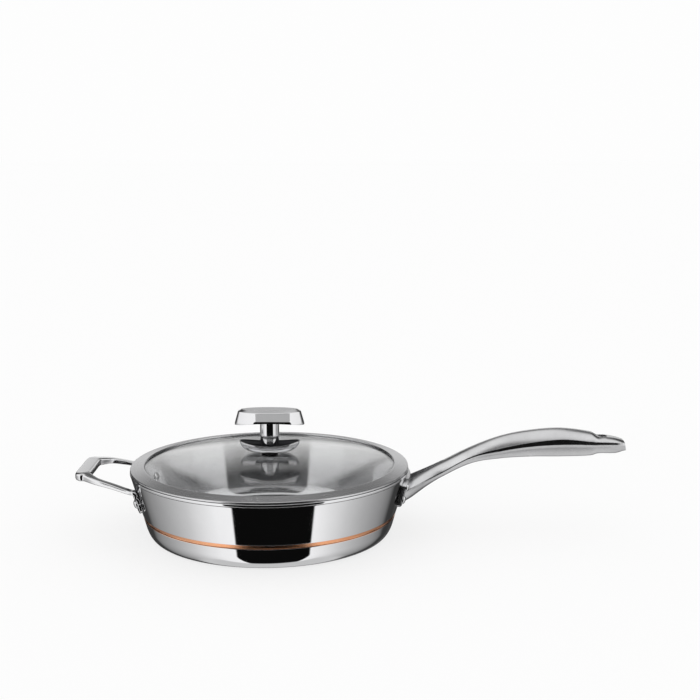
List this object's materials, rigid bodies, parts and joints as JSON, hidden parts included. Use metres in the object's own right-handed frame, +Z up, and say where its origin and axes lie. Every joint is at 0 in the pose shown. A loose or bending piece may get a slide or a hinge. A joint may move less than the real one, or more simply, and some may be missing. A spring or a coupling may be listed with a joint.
{
  "type": "lidded saute pan",
  "caption": "Shallow tapered clad-metal pan with a forked long handle, a loop helper handle and a lift-off domed glass lid with a metal rim and an oval knob.",
  "frame": {"origin": "centre of the pan's flat underside, on the pan's axis", "axes": "+Z up along the pan's axis, +X along the long handle, the helper handle towards -X"},
  "size_m": [0.5444, 0.2766, 0.1246],
  "materials": {
    "mirror_steel": "mirror-polished stainless steel",
    "brushed_steel": "brushed stainless steel",
    "cast_steel": "satin top, polished flanks, cast stainless steel",
    "copper": "bare copper, finely turned",
    "glass": "clear tempered glass",
    "sealant": "matte silicone",
    "screw_steel": "plain zinc-plated steel"
  },
  "bodies": {
    "pan": {"base_skin": "mirror_steel", "outer_wall_skin": "mirror_steel", "copper_core": "copper", "pan_inner_liner": "brushed_steel", "long_handle": "cast_steel", "handle_rivet_lower_left": "mirror_steel", "handle_rivet_upper_left": "mirror_steel", "handle_rivet_lower_right": "mirror_steel", "handle_rivet_upper_right": "mirror_steel", "helper_handle": "cast_steel", "helper_rivet_left": "mirror_steel", "helper_rivet_right": "mirror_steel"},
    "lid": {"lid_glass": "glass", "lid_seal": "sealant", "lid_rim": "brushed_steel", "knob_upper_seal": "sealant", "knob_dish": "mirror_steel", "knob_stem": "mirror_steel", "knob_cap": "mirror_steel", "knob_inset_plate": "brushed_steel", "knob_top_screw": "screw_steel", "knob_lower_seal": "sealant", "knob_lower_washer": "mirror_steel", "knob_screw": "screw_steel"}
  },
  "joints": [
    {"name": "lid_lift", "type": "slide", "parent": "pan", "child": "lid", "axis": [0, 0, 1], "range_m": [0, 0.2]}
  ]
}
